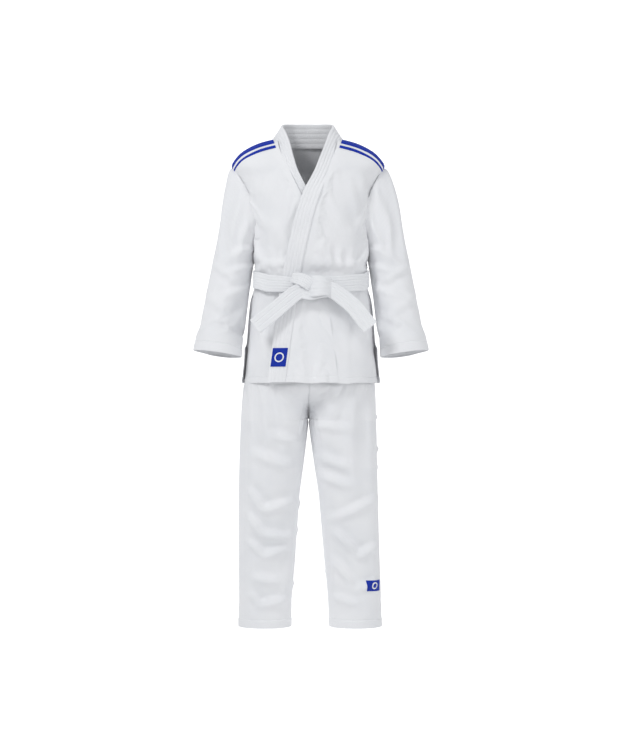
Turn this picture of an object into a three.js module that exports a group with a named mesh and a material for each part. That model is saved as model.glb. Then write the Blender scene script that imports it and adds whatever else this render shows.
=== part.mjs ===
// A child's martial arts uniform, as it hangs on an upright wearer: a wrap jacket with a tied belt, and
// straight trousers. Millimetres, +Z up, the front faces -Y, the origin is the middle of the waist.
// left_ and right_ are the wearer's sides, so left_ pieces lie on +X.
import * as THREE from "three";

// ---- cloth and gaps ----
const cloth = 2; // thickness of a cloth panel
const band = 5; // thickness of the quilted lapel and collar band
const tape = 0.8; // thickness of a sewn-on tape or label
const gap = 0.3; // clearance between pieces that lie on each other
const ease = 1.2; // extra room between curved layers

// ---- jacket body: levels (z), half widths (x) and half depths (y) of its sections ----
const hemLevel = -255;
const ventTop = -170;
const waistLevel = -6;
const underarmLevel = 84;
const armholeTop = 250;
const shoulderLevel = 262;
const neckLevel = 322;
const hemHalfWidth = 160;
const waistHalfWidth = 131;
const chestHalfWidth = 134;
const shoulderHalfWidth = 181;
const neckHalfWidth = 80;
const hemHalfDepth = 116;
const waistHalfDepth = 96;
const chestHalfDepth = 108;
const shoulderHalfDepth = 78;
const neckHalfDepth = 54;
const neckSeam = 4; // the collar's foot lies this far below the neck level
const neckShift = -8; // the wrap pulls the neck towards the under side
const boxiness = 2.4; // exponent of the superellipse sections
const armholeBulge = 24; // degrees that the armhole is cut into the front and the back
const backFlare = 7; // how far the back skirt stands out past the front at the vents

// ---- lapel band and collar ----
const lapelWidth = 43;
const lapelHemX = -58; // outer edge of the upper lapel at the hem
const lapelWaistX = -24;
const lapelChestX = 5;
const lapelChestLevel = 132;
const crossLevel = 130 + 2 * lapelWidth; // where the two inner edges cross: wider lapels cross higher
const collarTop = 372;

// ---- belt ----
const beltWidth = 40;
const beltThickness = 2.2;
const beltDip = 20; // how much lower the belt sits in front
const knotTop = -2;
const knotBottom = -60;
const knotDepth = 24;
const tailLength = 120;
const tailThickness = 5;
const tailPlane = 124.5; // distance of the tails' back faces in front of the middle

// ---- sleeves ----
const armholeMiddleX = 160;
const sleeveDrop = 354; // from the armhole's middle down to the cuff's middle
const sleeveReach = hemHalfWidth - 97; // cuff's middle outward from the armhole's: it clears the hem
const armHalfWidth = 48;
const armHalfDepth = 50;
const cuffHalfWidth = 56;
const cuffHalfDepth = 52;
const cuffForward = 30;
const cuffHem = 26;
const armholeFold = 68; // drop taken by the fold zone under the armhole
const elbowTop = 117; // drop at which the fold zone at the elbow begins
const elbowBottom = 194; // drop at which it ends

// ---- trousers ----
const waistbandTop = 14;
const waistbandHeight = 42;
const hemEase = 4.1; // room between the trousers and the jacket hem, on the mean of both sides
const seatLevel = -150;
const crotchLevel = -341;
const legBottom = -838;
const bandHalfWidth = 116;
const bandHalfDepth = 82;
const seatHalfWidth = 138;
const seatHalfDepth = 97;
const thighOuter = 160;
const hemOuter = 170;
const thighInner = 9;
const hemInner = 47;
const thighHalfDepth = 84;
const hemHalfDepthLeg = 56;
const legCentre = -6; // the crotch lies a little to the under side of the wrap
const legCentreHem = -2;
const hipFold = 50; // height of the fold zone under the hip panels
const kneeLevel = -565;
const kneeFold = 48; // half height of the fold zone at the knee
const legHem = 26;
const eyeletRadius = 5;
const eyeletHole = 2.4;
const eyeletSpacing = 44;

const white = 0xe9ebef;
const blue = 0x0b35a8;
const radians = THREE.MathUtils.degToRad;
const group = new THREE.Group();

// ---- helpers ----
const smooth = (low, high, value) => THREE.MathUtils.smoothstep(value, low, high);
const mix = THREE.MathUtils.lerp;
const power = (value, exponent) => Math.sign(value) * Math.abs(value) ** exponent;

// A smooth curve through [position, value] stations in rising order of position.
function profile(stations) {
  const slope = stations.map((_, i) => {
    const a = stations[Math.max(i - 1, 0)];
    const b = stations[Math.min(i + 1, stations.length - 1)];
    return (b[1] - a[1]) / (b[0] - a[0]);
  });
  return (at) => {
    let i = 0;
    while (i < stations.length - 2 && at > stations[i + 1][0]) i++;
    const [x0, y0] = stations[i];
    const [x1, y1] = stations[i + 1];
    const span = x1 - x0;
    const t = THREE.MathUtils.clamp((at - x0) / span, 0, 1);
    const rise = t * t * (3 - 2 * t);
    const lead = t * (1 - t) * (1 - t) * span * slope[i];
    const trail = t * t * (t - 1) * span * slope[i + 1];
    return y0 + (y1 - y0) * rise + lead + trail;
  };
}

function addMesh(name, geometry, colour) {
  const roughness = 0.9;
  const mesh = new THREE.Mesh(geometry, new THREE.MeshStandardMaterial({ color: colour, roughness }));
  mesh.name = name;
  group.add(mesh);
  return mesh;
}

// A closed solid from indexed points, turned inside out if its faces point inwards.
function solid(points, faces) {
  let volume = 0;
  for (const [a, b, c] of faces) {
    volume += points[a].dot(new THREE.Vector3().crossVectors(points[b], points[c]));
  }
  const index = volume < 0 ? faces.flatMap(([a, b, c]) => [a, c, b]) : faces.flat();
  const geometry = new THREE.BufferGeometry().setFromPoints(points);
  geometry.setIndex(index);
  geometry.computeVertexNormals();
  return geometry;
}

// A cloth shell between two offsets of the surface at(u, v), with u and v from 0 to 1. A ring closes
// on itself along u. The offsets are numbers or functions of u and v, along the surface's normal, which
// points out where u runs anticlockwise seen from above and v runs up. A level shell keeps its ends flat.
function shell(at, columns, rows, inside, outside, ring = false, level = false) {
  const offset = (value, u, v) => (typeof value === "function" ? value(u, v) : value);
  const step = 1e-3;
  const width = ring ? columns : columns + 1;
  const layers = [[], []];
  for (let j = 0; j <= rows; j++) {
    for (let i = 0; i < width; i++) {
      const u = i / columns;
      const v = j / rows;
      const before = ring ? u - step : Math.max(u - step, 0);
      const after = ring ? u + step : Math.min(u + step, 1);
      const du = at(after, v).sub(at(before, v));
      const dv = at(u, Math.min(v + step, 1)).sub(at(u, Math.max(v - step, 0)));
      const normal = du.cross(dv);
      if (level) normal.z = 0;
      normal.normalize();
      const point = at(u, v);
      layers[0].push(point.clone().addScaledVector(normal, offset(inside, u, v)));
      layers[1].push(point.clone().addScaledVector(normal, offset(outside, u, v)));
    }
  }
  const count = layers[0].length;
  const low = (i, j) => j * width + (i % width);
  const high = (i, j) => low(i, j) + count;
  const faces = [];
  const quad = (a, b, c, d) => faces.push([a, b, c], [a, c, d]);
  for (let j = 0; j < rows; j++) {
    for (let i = 0; i < columns; i++) {
      quad(high(i, j), high(i + 1, j), high(i + 1, j + 1), high(i, j + 1));
      quad(low(i, j), low(i, j + 1), low(i + 1, j + 1), low(i + 1, j));
    }
  }
  for (let i = 0; i < columns; i++) {
    quad(low(i, 0), low(i + 1, 0), high(i + 1, 0), high(i, 0));
    quad(low(i + 1, rows), low(i, rows), high(i, rows), high(i + 1, rows));
  }
  for (let j = 0; j < rows && !ring; j++) {
    quad(low(0, j + 1), low(0, j), high(0, j), high(0, j + 1));
    quad(low(columns, j), low(columns, j + 1), high(columns, j + 1), high(columns, j));
  }
  return solid([...layers[0], ...layers[1]], faces);
}

// A flat plate with the outline in the XZ plane and its back face at y = -near.
function plate(outline, near, thickness) {
  const settings = { depth: thickness, bevelEnabled: false, curveSegments: 6 };
  const geometry = new THREE.ExtrudeGeometry(outline, settings);
  geometry.rotateX(Math.PI / 2);
  geometry.translate(0, -near, 0);
  return geometry;
}

// ---- the jacket's body surface ----
const skirtLevel = waistLevel - 60; // the skirt starts to flare
const ribLevel = waistLevel + 46; // the cloth bloused over the belt is fullest
const bodyWidth = profile([
  [hemLevel, hemHalfWidth],
  [ventTop, hemHalfWidth - 7],
  [skirtLevel, waistHalfWidth + 13],
  [waistLevel - 20, waistHalfWidth + 2],
  [waistLevel, waistHalfWidth],
  [ribLevel, chestHalfWidth - 1],
  [underarmLevel, chestHalfWidth],
  [mix(underarmLevel, shoulderLevel, 0.25), chestHalfWidth + 3],
  [mix(underarmLevel, shoulderLevel, 0.55), mix(chestHalfWidth, shoulderHalfWidth, 0.35)],
  [mix(underarmLevel, shoulderLevel, 0.8), mix(chestHalfWidth, shoulderHalfWidth, 0.7)],
  [shoulderLevel, shoulderHalfWidth],
  [mix(shoulderLevel, neckLevel, 0.17), shoulderHalfWidth - 4],
  [mix(shoulderLevel, neckLevel, 0.45), mix(shoulderHalfWidth, neckHalfWidth, 0.18)],
  [mix(shoulderLevel, neckLevel, 0.65), mix(shoulderHalfWidth, neckHalfWidth, 0.35)],
  [mix(shoulderLevel, neckLevel, 0.85), mix(shoulderHalfWidth, neckHalfWidth, 0.63)],
  [neckLevel, neckHalfWidth],
]);
const bodyDepth = profile([
  [hemLevel, hemHalfDepth],
  [ventTop, hemHalfDepth - 4],
  [skirtLevel, waistHalfDepth + 9],
  [waistLevel, waistHalfDepth],
  [ribLevel, mix(waistHalfDepth, chestHalfDepth, 0.6)],
  [mix(underarmLevel, shoulderLevel, 0.25), chestHalfDepth],
  [mix(underarmLevel, shoulderLevel, 0.55), chestHalfDepth - 6],
  [mix(underarmLevel, shoulderLevel, 0.8), mix(chestHalfDepth, shoulderHalfDepth, 0.5)],
  [shoulderLevel, shoulderHalfDepth],
  [mix(shoulderLevel, neckLevel, 0.65), mix(shoulderHalfDepth, neckHalfDepth, 0.7)],
  [neckLevel, neckHalfDepth],
]);
const bodyShift = (z) => neckShift * smooth(underarmLevel, neckLevel, z);

// Levels of the jacket's rows of corners. The waist and the belt's edges have rows of their own.
const bodyLevels = [
  hemLevel,
  mix(hemLevel, ventTop, 0.5),
  ventTop,
  mix(ventTop, skirtLevel, 0.5),
  skirtLevel,
  waistLevel - beltDip - beltWidth / 2,
  waistLevel - beltWidth / 2,
  waistLevel,
  waistLevel + beltWidth / 2,
  ribLevel,
  underarmLevel,
  mix(underarmLevel, shoulderLevel, 0.25),
  mix(underarmLevel, shoulderLevel, 0.5),
  mix(underarmLevel, shoulderLevel, 0.75),
  mix(underarmLevel, shoulderLevel, 0.9),
  shoulderLevel,
  mix(shoulderLevel, neckLevel, 0.25),
  mix(shoulderLevel, neckLevel, 0.5),
  mix(shoulderLevel, neckLevel, 0.75),
  neckLevel - neckSeam,
];
const bodyRows = bodyLevels.length - 1;
const bodyLevel = (v) => {
  const i = Math.min(Math.floor(v * bodyRows + 1e-9), bodyRows - 1);
  return mix(bodyLevels[i], bodyLevels[i + 1], v * bodyRows - i);
};

// A point of the jacket's body at an angle in degrees from the front (0) round to the wearer's left (90).
function bodyPoint(angle, z, flare = 0) {
  const turn = radians(angle);
  const x = bodyShift(z) + (bodyWidth(z) + flare) * power(Math.sin(turn), 2 / boxiness);
  const y = -(bodyDepth(z) + flare) * power(Math.cos(turn), 2 / boxiness);
  return new THREE.Vector3(x, y, z);
}

// The angle at which the front surface has the given x.
function angleAt(x, z) {
  const share = THREE.MathUtils.clamp((x - bodyShift(z)) / bodyWidth(z), -1, 1);
  return THREE.MathUtils.radToDeg(Math.asin(power(share, boxiness / 2)));
}

const armholeMiddle = (underarmLevel + armholeTop) / 2;
const armholeHalf = (armholeTop - underarmLevel) / 2;

// How far the armhole is cut back from the side line at a level, in degrees.
function armholeCut(z) {
  const share = (z - armholeMiddle) / armholeHalf;
  return Math.abs(share) < 1 ? armholeBulge * Math.sqrt(1 - share * share) : 0;
}

// ---- edges of the lapel band; side is 1 for the upper (left) lapel and -1 for the lower one ----
const lapelOuterX = profile([
  [hemLevel, lapelHemX],
  [waistLevel, lapelWaistX],
  [lapelChestLevel, lapelChestX],
  [mix(lapelChestLevel, neckLevel, 0.33), lapelChestX + 21],
  [mix(lapelChestLevel, neckLevel, 0.82), lapelChestX + 57],
  [neckLevel, neckShift + neckHalfWidth - 2],
]);
const lapelOuterAt = (side, z) => (side > 0 ? lapelOuterX(z) : 2 * bodyShift(z) - lapelOuterX(z));

// Height of the upper layer of the wrap over the lower one; it dies out above the crossing.
const lowerLapelSink = band - cloth;
const fullLift = cloth + gap + ease;
const wrapLift = (z) => fullLift * (1 - smooth(crossLevel, crossLevel + 40, z));
const sideRamp = 0.35; // share of the upper front panel over which it climbs on to the wrap

// A point of the lapel band: u from its outer edge to its inner edge, z is the outer edge's level. Near
// the neck the inner edge leaves the chest and stands up into the collar.
function lapelPoint(side, u, z) {
  const outer = bodyPoint(angleAt(lapelOuterAt(side, z), z), z);
  const lean = Math.atan((lapelOuterX(z + 1) - lapelOuterX(z - 1)) / 2);
  const rise = smooth(crossLevel - 30, neckLevel, z);
  const across = lapelWidth * mix(Math.cos(lean), 0.47, rise);
  const up = lapelWidth * mix(Math.sin(lean) * 0.3, 0.85, rise);
  const x = side > 0 ? lapelOuterX(z) - across : 2 * bodyShift(z) - lapelOuterX(z) + across;
  const chest = Math.min(z, crossLevel + 30);
  const chestY = (atX) => bodyPoint(angleAt(atX, chest), chest).y;
  const point = outer.clone().lerp(new THREE.Vector3(x, mix(chestY(x), outer.y - 4, rise), z + up), u);
  const bulge = chestY(point.x) - mix(chestY(outer.x), chestY(x), u);
  point.y += bulge * (1 - rise);
  return point;
}

// ---- the jacket ----
function backPanel() {
  const at = (u, v) => {
    const z = bodyLevel(v);
    const edge = 90 + armholeCut(z) + gap / 4;
    const flare = backFlare * (1 - smooth(hemLevel, ventTop + 20, z));
    return bodyPoint(mix(edge, 360 - edge, u), z, flare);
  };
  addMesh("back_panel", shell(at, 16, bodyRows, 0, cloth, false, true), white);
}

function frontPanel(name, side) {
  const edgeGap = THREE.MathUtils.radToDeg(gap / waistHalfWidth);
  const neckRelief = 8;
  const fromSide = (u) => (side > 0 ? 1 - u : u);
  const at = (u, v) => {
    const z = bodyLevel(v);
    const sideEdge = side * (90 - armholeCut(z) - gap / 4);
    const relief = 4 * edgeGap + neckRelief * smooth(shoulderLevel, neckLevel, z);
    const lapelEdge = angleAt(lapelOuterAt(side, z), z) + side * relief;
    return bodyPoint(mix(sideEdge, lapelEdge, fromSide(u)), z);
  };
  const lift = (u, v) => (side > 0 ? wrapLift(bodyLevel(v)) * smooth(0, sideRamp, fromSide(u)) : 0);
  addMesh(name, shell(at, 9, bodyRows, lift, (u, v) => lift(u, v) + cloth, false, true), white);
}

const lapelBase = (side, z) => (side > 0 ? wrapLift(z) : -lowerLapelSink);

function lapel(name, side) {
  const base = (v) => lapelBase(side, bodyLevel(v));
  const at = (u, v) => lapelPoint(side, side > 0 ? 1 - u : u, bodyLevel(v));
  addMesh(name, shell(at, 3, bodyRows, (u, v) => base(v), (u, v) => base(v) + band), white);
}

// The band behind the neck, from one lapel's end round to the other's.
function collar() {
  const endAngle = 64;
  const at = (u, v) => {
    const angle = mix(endAngle, 360 - endAngle, u);
    const foot = bodyPoint(angle, neckLevel - neckSeam);
    foot.z += gap;
    const turn = radians(angle);
    const back = Math.cos(turn) ** 2;
    const topX = neckShift + (neckHalfWidth - 22) * Math.sin(turn);
    const topY = -(neckHalfDepth - 4) * Math.cos(turn);
    const topZ = mix(collarTop - 14, collarTop, back);
    return foot.lerp(new THREE.Vector3(topX, topY, topZ), v);
  };
  addMesh("collar_band", shell(at, 14, 2, 0, band), white);
}

function shoulderTape(name, side, fromAngle, toAngle) {
  const low = shoulderLevel + 6;
  const high = neckLevel - 10;
  const rest = cloth + gap + 0.4; // a little over the panel, whose facets stand out between its rows
  const at = (u, v) => {
    const angle = side > 0 ? mix(toAngle, fromAngle, u) : -mix(fromAngle, toAngle, u);
    return bodyPoint(angle, mix(low, high, v));
  };
  addMesh(name, shell(at, 3, 7, rest, rest + tape), blue);
}

function lapelLabel() {
  const labelTop = hemLevel + 81;
  const labelHeight = 50;
  const margin = 0.07; // share of the band's width left bare on each side
  const z = (v) => mix(labelTop - labelHeight, labelTop, v);
  const at = (u, v) => lapelPoint(1, mix(1 - margin, margin, u), z(v));
  const low = (u, v) => lapelBase(1, z(v)) + band + gap;
  addMesh("lapel_label", shell(at, 3, 3, low, (u, v) => low(u, v) + tape), blue);
}

// ---- the belt ----
const beltMiddle = (angle) => waistLevel - beltDip * Math.max(Math.cos(radians(angle)), 0);
const beltRest = (angle) => {
  const round = Math.abs(((angle + 180) % 360) - 180);
  return mix(cloth, fullLift + band, 1 - smooth(50, 92, round)) + gap + ease;
};

function beltWrap(name, layer) {
  const at = (u, v) => bodyPoint(360 * u, beltMiddle(360 * u) + (v - 0.5) * beltWidth);
  const low = (u) => beltRest(360 * u) + layer * (beltThickness + gap);
  addMesh(name, shell(at, 40, 2, low, (u) => low(u) + beltThickness, true, true), white);
}

const tailPivots = { left: [52, -44], right: [-38, -46] };
const tailEnds = { left: [139, -127], right: [-130, -124] };
const tailRoot = beltWidth / 2 - 1;
const knotBack = bodyDepth(beltMiddle(0) - beltWidth / 2) + beltRest(0) + 2 * beltThickness + 2 * gap;

// The knot's outline has a round notch for the root of each tail.
function knot() {
  const [leftX, leftZ] = tailPivots.left;
  const [rightX, rightZ] = tailPivots.right;
  const notch = tailRoot + gap + 0.1;
  const outline = new THREE.Shape();
  outline.moveTo(rightX + 2, knotTop - 4);
  outline.lineTo(rightX + 8, knotTop - 22);
  outline.absarc(rightX, rightZ, notch, Math.atan2(knotTop - 22 - rightZ, 8), 0, true);
  outline.lineTo(rightX + notch, knotBottom + 6);
  outline.lineTo(rightX + notch + 6, knotBottom);
  outline.lineTo(leftX - notch - 6, knotBottom);
  outline.lineTo(leftX - notch, knotBottom + 6);
  outline.absarc(leftX, leftZ, notch, Math.PI, Math.atan2(knotTop - 20 - leftZ, -8), true);
  outline.lineTo(leftX - 10, knotTop);
  outline.closePath();
  addMesh("belt_knot", plate(outline, knotBack, knotDepth), white);
}

function beltTail(side) {
  const [pivotX, pivotZ] = tailPivots[side];
  const [endX, endZ] = tailEnds[side];
  const angle = Math.atan2(endZ - pivotZ, endX - pivotX);
  const outline = new THREE.Shape();
  outline.moveTo(0, -tailRoot);
  outline.lineTo(tailLength, -tailRoot);
  outline.lineTo(tailLength, tailRoot);
  outline.lineTo(0, tailRoot);
  outline.absarc(0, 0, tailRoot, Math.PI / 2, (3 * Math.PI) / 2, false);
  const geometry = plate(outline, 0, tailThickness);
  const mesh = addMesh(side + "_belt_tail", geometry, white);
  mesh.rotation.y = -angle;
  mesh.position.set(pivotX, -tailPlane, pivotZ);
}

// ---- sleeves: sections from the outer edge (0 degrees) over the front (90) to the inner edge ----
const sleeveTilt = profile([[0, 76], [0.1, 62], [0.2, 42], [0.3, 24], [0.4, 14], [0.5, 10.6], [1, 8]]);
const sleeveOut = profile([[0, 0], [0.1, 0.23], [0.2, 0.33], [0.3, 0.42], [0.4, 0.53], [0.6, 0.71], [1, 1]]);
const sleeveHalf = profile([
  [0, armholeHalf],
  [0.1, armHalfWidth + 24],
  [0.2, armHalfWidth + 6],
  [0.3, armHalfWidth],
  [0.6, armHalfWidth + 1],
  [1, cuffHalfWidth],
]);
const sleeveDepth = profile([[0, armHalfDepth], [0.5, armHalfDepth], [1, cuffHalfDepth]]);
const sleeveForward = profile([[0, 0], [0.45, 0], [1, cuffForward]]);

function sleevePoint(side, turnDegrees, drop) {
  const share = drop / sleeveDrop;
  const turn = radians(turnDegrees);
  const tilt = radians(sleeveTilt(share));
  const half = sleeveHalf(share) * Math.cos(turn);
  const lean = Math.atan((sleeveForward(share + 0.01) - sleeveForward(share - 0.01)) / (0.02 * sleeveDrop));
  const front = sleeveDepth(share) * Math.sin(turn);
  const x = side * (armholeMiddleX + sleeveOut(share) * sleeveReach + half * Math.cos(tilt));
  const z = armholeMiddle - drop + half * Math.sin(tilt) + front * Math.sin(lean);
  const point = new THREE.Vector3(x, -sleeveForward(share) - front, z);
  const seamLevel = armholeMiddle + armholeHalf * Math.cos(turn);
  const seam = bodyPoint(side * (90 - armholeBulge * Math.sin(turn)), seamLevel);
  seam.x += side * (2 * cloth + gap) * mix(0.5, 1, (1 - Math.cos(turn)) / 2);
  return seam.lerp(point, smooth(0, armholeFold, drop));
}

function sleeveRing(name, side, top, bottom, rows, thickness = cloth) {
  const at = (u, v) => sleevePoint(side, side * 360 * u, mix(top, bottom, v));
  addMesh(name, shell(at, 16, rows, 0, thickness, true), white);
}

function sleeve(word, side) {
  const armholeGap = 3;
  sleeveRing(word + "_armhole_fold", side, armholeGap, armholeFold - gap, 4);
  sleeveRing(word + "_upper_sleeve", side, armholeFold, elbowTop, 3);
  sleeveRing(word + "_elbow_fold", side, elbowTop + gap, elbowBottom - gap, 3);
  sleeveRing(word + "_lower_sleeve", side, elbowBottom, sleeveDrop - cuffHem - gap, 4);
  sleeveRing(word + "_cuff_hem", side, sleeveDrop - cuffHem, sleeveDrop, 1, cloth + 1);
}

// ---- trousers ----
const waistbandBottom = waistbandTop - waistbandHeight;
const hipWidth = profile([
  [crotchLevel, thighOuter],
  [hemLevel, hemHalfWidth - cloth - hemEase],
  [seatLevel, seatHalfWidth],
  [waistbandBottom, bandHalfWidth],
  [waistbandTop, bandHalfWidth],
]);
const hipDepth = profile([
  [crotchLevel, seatHalfDepth - 2],
  [seatLevel, seatHalfDepth],
  [waistbandBottom, bandHalfDepth],
  [waistbandTop, bandHalfDepth],
]);

// A point of the hips; above the crotch the middle draws in between the legs.
function hipPoint(angle, z) {
  const pinchWidth = 26;
  const pinch = 0.78 * (1 - smooth(crotchLevel, crotchLevel + 90, z));
  const turn = radians(angle);
  const shift = legCentre * (1 - smooth(crotchLevel, seatLevel, z));
  const x = hipWidth(z) * power(Math.sin(turn), 2 / boxiness);
  const draw = 1 - pinch * Math.exp(-((x / pinchWidth) ** 2));
  const y = -hipDepth(z) * power(Math.cos(turn), 2 / boxiness) * draw;
  return new THREE.Vector3(x + shift, y, z);
}

function hipPanel(name, fromAngle) {
  const edge = 0.15;
  const top = waistbandBottom - gap;
  const at = (u, v) => hipPoint(fromAngle + mix(edge, 90 - edge, u), mix(crotchLevel, top, v));
  addMesh(name, shell(at, 8, 8, 0, cloth, false, true), white);
}

function gusset() {
  const halfWidth = thighInner - cloth - gap - 0.3;
  const halfLength = 25;
  const geometry = new THREE.BoxGeometry(2 * halfWidth, 2 * halfLength, cloth);
  const mesh = addMesh("crotch_gusset", geometry, white);
  mesh.position.set(legCentre, 0, crotchLevel - gap - cloth / 2);
}

// The waistband is a casing, open below, with the elastic inside it. Each is a ring swept from a profile
// of [offset, height] corners.
function bandRing(name, corners, colour) {
  const columns = 36;
  const points = [];
  const faces = [];
  const count = corners.length;
  for (let i = 0; i < columns; i++) {
    const turn = (2 * Math.PI * i) / columns;
    for (const [offset, height] of corners) {
      const x = (bandHalfWidth + offset) * Math.sin(turn);
      const y = -(bandHalfDepth + offset) * Math.cos(turn);
      points.push(new THREE.Vector3(x, y, height));
    }
  }
  for (let i = 0; i < columns; i++) {
    for (let k = 0; k < count; k++) {
      const a = i * count + k;
      const b = i * count + ((k + 1) % count);
      const c = ((i + 1) % columns) * count + ((k + 1) % count);
      const d = ((i + 1) % columns) * count + k;
      faces.push([a, b, c], [a, c, d]);
    }
  }
  addMesh(name, solid(points, faces), colour);
}

function waistband() {
  const wall = 1.4;
  const elastic = 2;
  const inner = wall + gap;
  const depth = elastic + 2 * gap;
  const outer = wall + depth;
  const roof = waistbandTop - wall;
  bandRing(
    "waistband",
    [
      [0, waistbandBottom],
      [0, waistbandTop],
      [outer + wall, waistbandTop],
      [outer + wall, waistbandBottom],
      [outer, waistbandBottom],
      [outer, roof],
      [wall, roof],
      [wall, waistbandBottom],
    ],
    white,
  );
  bandRing(
    "waist_elastic",
    [
      [inner, waistbandBottom + 2],
      [inner, roof - gap],
      [inner + elastic, roof - gap],
      [inner + elastic, waistbandBottom + 2],
    ],
    white,
  );
  for (const [word, side] of [["left", 1], ["right", -1]]) {
    const rim = 0.8; // the eyelet's thickness
    const ring = [
      [eyeletHole, 0],
      [eyeletRadius, 0],
      [eyeletRadius, rim],
      [eyeletHole, rim],
      [eyeletHole, 0],
    ];
    const geometry = new THREE.LatheGeometry(ring.map(([r, h]) => new THREE.Vector2(r, h)), 12);
    const mesh = addMesh(word + "_drawcord_eyelet", geometry, white);
    const x = (side * eyeletSpacing) / 2;
    const surface = bandHalfDepth + outer + wall;
    const turn = Math.asin(x / (bandHalfWidth + outer + wall));
    mesh.rotation.set(Math.PI, 0, 0);
    mesh.rotation.z = turn * 0.7;
    mesh.position.set(x, -surface * Math.cos(turn) - gap - 1, (waistbandTop + waistbandBottom) / 2);
  }
}

// A point of a leg: sections like the sleeves', level all the way down.
function legPoint(side, turnDegrees, z) {
  const share = (crotchLevel - z) / (crotchLevel - legBottom);
  const ease = (rate) => 1 - (1 - share) ** rate;
  const outer = mix(thighOuter, hemOuter, ease(1.6));
  const inner = mix(thighInner, hemInner, ease(2));
  const depth = mix(thighHalfDepth, hemHalfDepthLeg, ease(2.6));
  const centre = mix(legCentre, legCentreHem, share);
  const turn = radians(turnDegrees);
  const roundness = 2 / 2.3;
  const x = (outer + inner) / 2 + ((outer - inner) / 2) * power(Math.cos(turn), roundness);
  return new THREE.Vector3(centre + side * x, -depth * power(Math.sin(turn), roundness), z);
}

function legRing(name, side, top, bottom, rows, thickness = cloth) {
  const at = (u, v) => legPoint(side, side * 360 * u, mix(top, bottom, v));
  addMesh(name, shell(at, 20, rows, 0, thickness, true, true), white);
}

// A front panel (first angle 0) or a back panel (180) of a leg.
function legPanel(name, side, fromAngle, top, bottom, rows) {
  const edge = 0.2;
  const toAngle = fromAngle + 180;
  const at = (u, v) => {
    const along = mix(edge, 180 - edge, u);
    const turn = side > 0 ? fromAngle + along : toAngle - along;
    return legPoint(side, turn, mix(top, bottom, v));
  };
  addMesh(name, shell(at, 10, rows, 0, cloth, false, true), white);
}

function leg(word, side) {
  const thighTop = crotchLevel - hipFold;
  const kneeTop = kneeLevel + kneeFold;
  const kneeBottom = kneeLevel - kneeFold;
  const shinBottom = legBottom + legHem;
  legRing(word + "_hip_fold", side, crotchLevel - gap, thighTop + gap, 2);
  legPanel(word + "_thigh_front_panel", side, 0, thighTop, kneeTop, 3);
  legPanel(word + "_thigh_back_panel", side, 180, thighTop, kneeTop, 3);
  legRing(word + "_knee_fold", side, kneeTop - gap, kneeBottom + gap, 3);
  legPanel(word + "_shin_front_panel", side, 0, kneeBottom, shinBottom, 4);
  legPanel(word + "_shin_back_panel", side, 180, kneeBottom, shinBottom, 4);
  legRing(word + "_leg_hem", side, shinBottom - gap, legBottom, 1, cloth + 1);
}

function trouserLabel() {
  const labelTop = legBottom + 120;
  const labelHeight = 28;
  const at = (u, v) => legPoint(1, mix(25, 66, u), labelTop - labelHeight * v);
  addMesh("trouser_label", shell(at, 4, 2, cloth + gap, cloth + gap + tape, false, true), blue);
}

backPanel();
frontPanel("left_front_panel", 1);
frontPanel("right_front_panel", -1);
lapel("left_lapel", 1);
lapel("right_lapel", -1);
collar();
for (const [word, side] of [["left", 1], ["right", -1]]) {
  shoulderTape(word + "_shoulder_tape_wide", side, 88, 70);
  shoulderTape(word + "_shoulder_tape_narrow", side, 62, 54);
  sleeve(word, side);
  leg(word, side);
  beltTail(word);
}
lapelLabel();
beltWrap("belt_inner_wrap", 0);
beltWrap("belt_outer_wrap", 1);
knot();
waistband();
hipPanel("left_front_hip_panel", 0);
hipPanel("left_back_hip_panel", 90);
hipPanel("right_back_hip_panel", 180);
hipPanel("right_front_hip_panel", 270);
gusset();
trouserLabel();

export default group;
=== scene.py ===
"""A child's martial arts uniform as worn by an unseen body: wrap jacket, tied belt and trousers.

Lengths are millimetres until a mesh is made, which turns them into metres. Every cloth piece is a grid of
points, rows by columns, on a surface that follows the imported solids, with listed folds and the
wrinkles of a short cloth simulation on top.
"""
import math

import bpy
import numpy as np
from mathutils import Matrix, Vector


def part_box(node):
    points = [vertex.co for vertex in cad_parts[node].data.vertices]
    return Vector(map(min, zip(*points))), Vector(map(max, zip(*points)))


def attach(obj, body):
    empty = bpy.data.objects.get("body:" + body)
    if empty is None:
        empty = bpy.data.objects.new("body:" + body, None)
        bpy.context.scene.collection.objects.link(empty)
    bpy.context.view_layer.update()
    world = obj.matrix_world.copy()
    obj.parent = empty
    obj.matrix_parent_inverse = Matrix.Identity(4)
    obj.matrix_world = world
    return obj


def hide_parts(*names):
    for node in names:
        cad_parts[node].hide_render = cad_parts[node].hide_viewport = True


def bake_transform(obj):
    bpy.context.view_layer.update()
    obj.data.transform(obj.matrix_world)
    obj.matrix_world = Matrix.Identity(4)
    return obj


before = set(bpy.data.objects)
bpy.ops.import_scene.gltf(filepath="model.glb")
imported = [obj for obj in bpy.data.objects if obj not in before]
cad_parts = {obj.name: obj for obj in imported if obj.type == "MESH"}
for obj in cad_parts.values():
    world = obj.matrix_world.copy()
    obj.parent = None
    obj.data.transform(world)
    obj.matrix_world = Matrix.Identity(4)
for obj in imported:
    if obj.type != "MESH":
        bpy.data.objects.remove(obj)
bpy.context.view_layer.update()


def low(node):
    """Lowest corner of a CAD node, in millimetres."""
    return np.array(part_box(node)[0]) * 1000


def high(node):
    """Highest corner of a CAD node, in millimetres."""
    return np.array(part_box(node)[1]) * 1000


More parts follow.
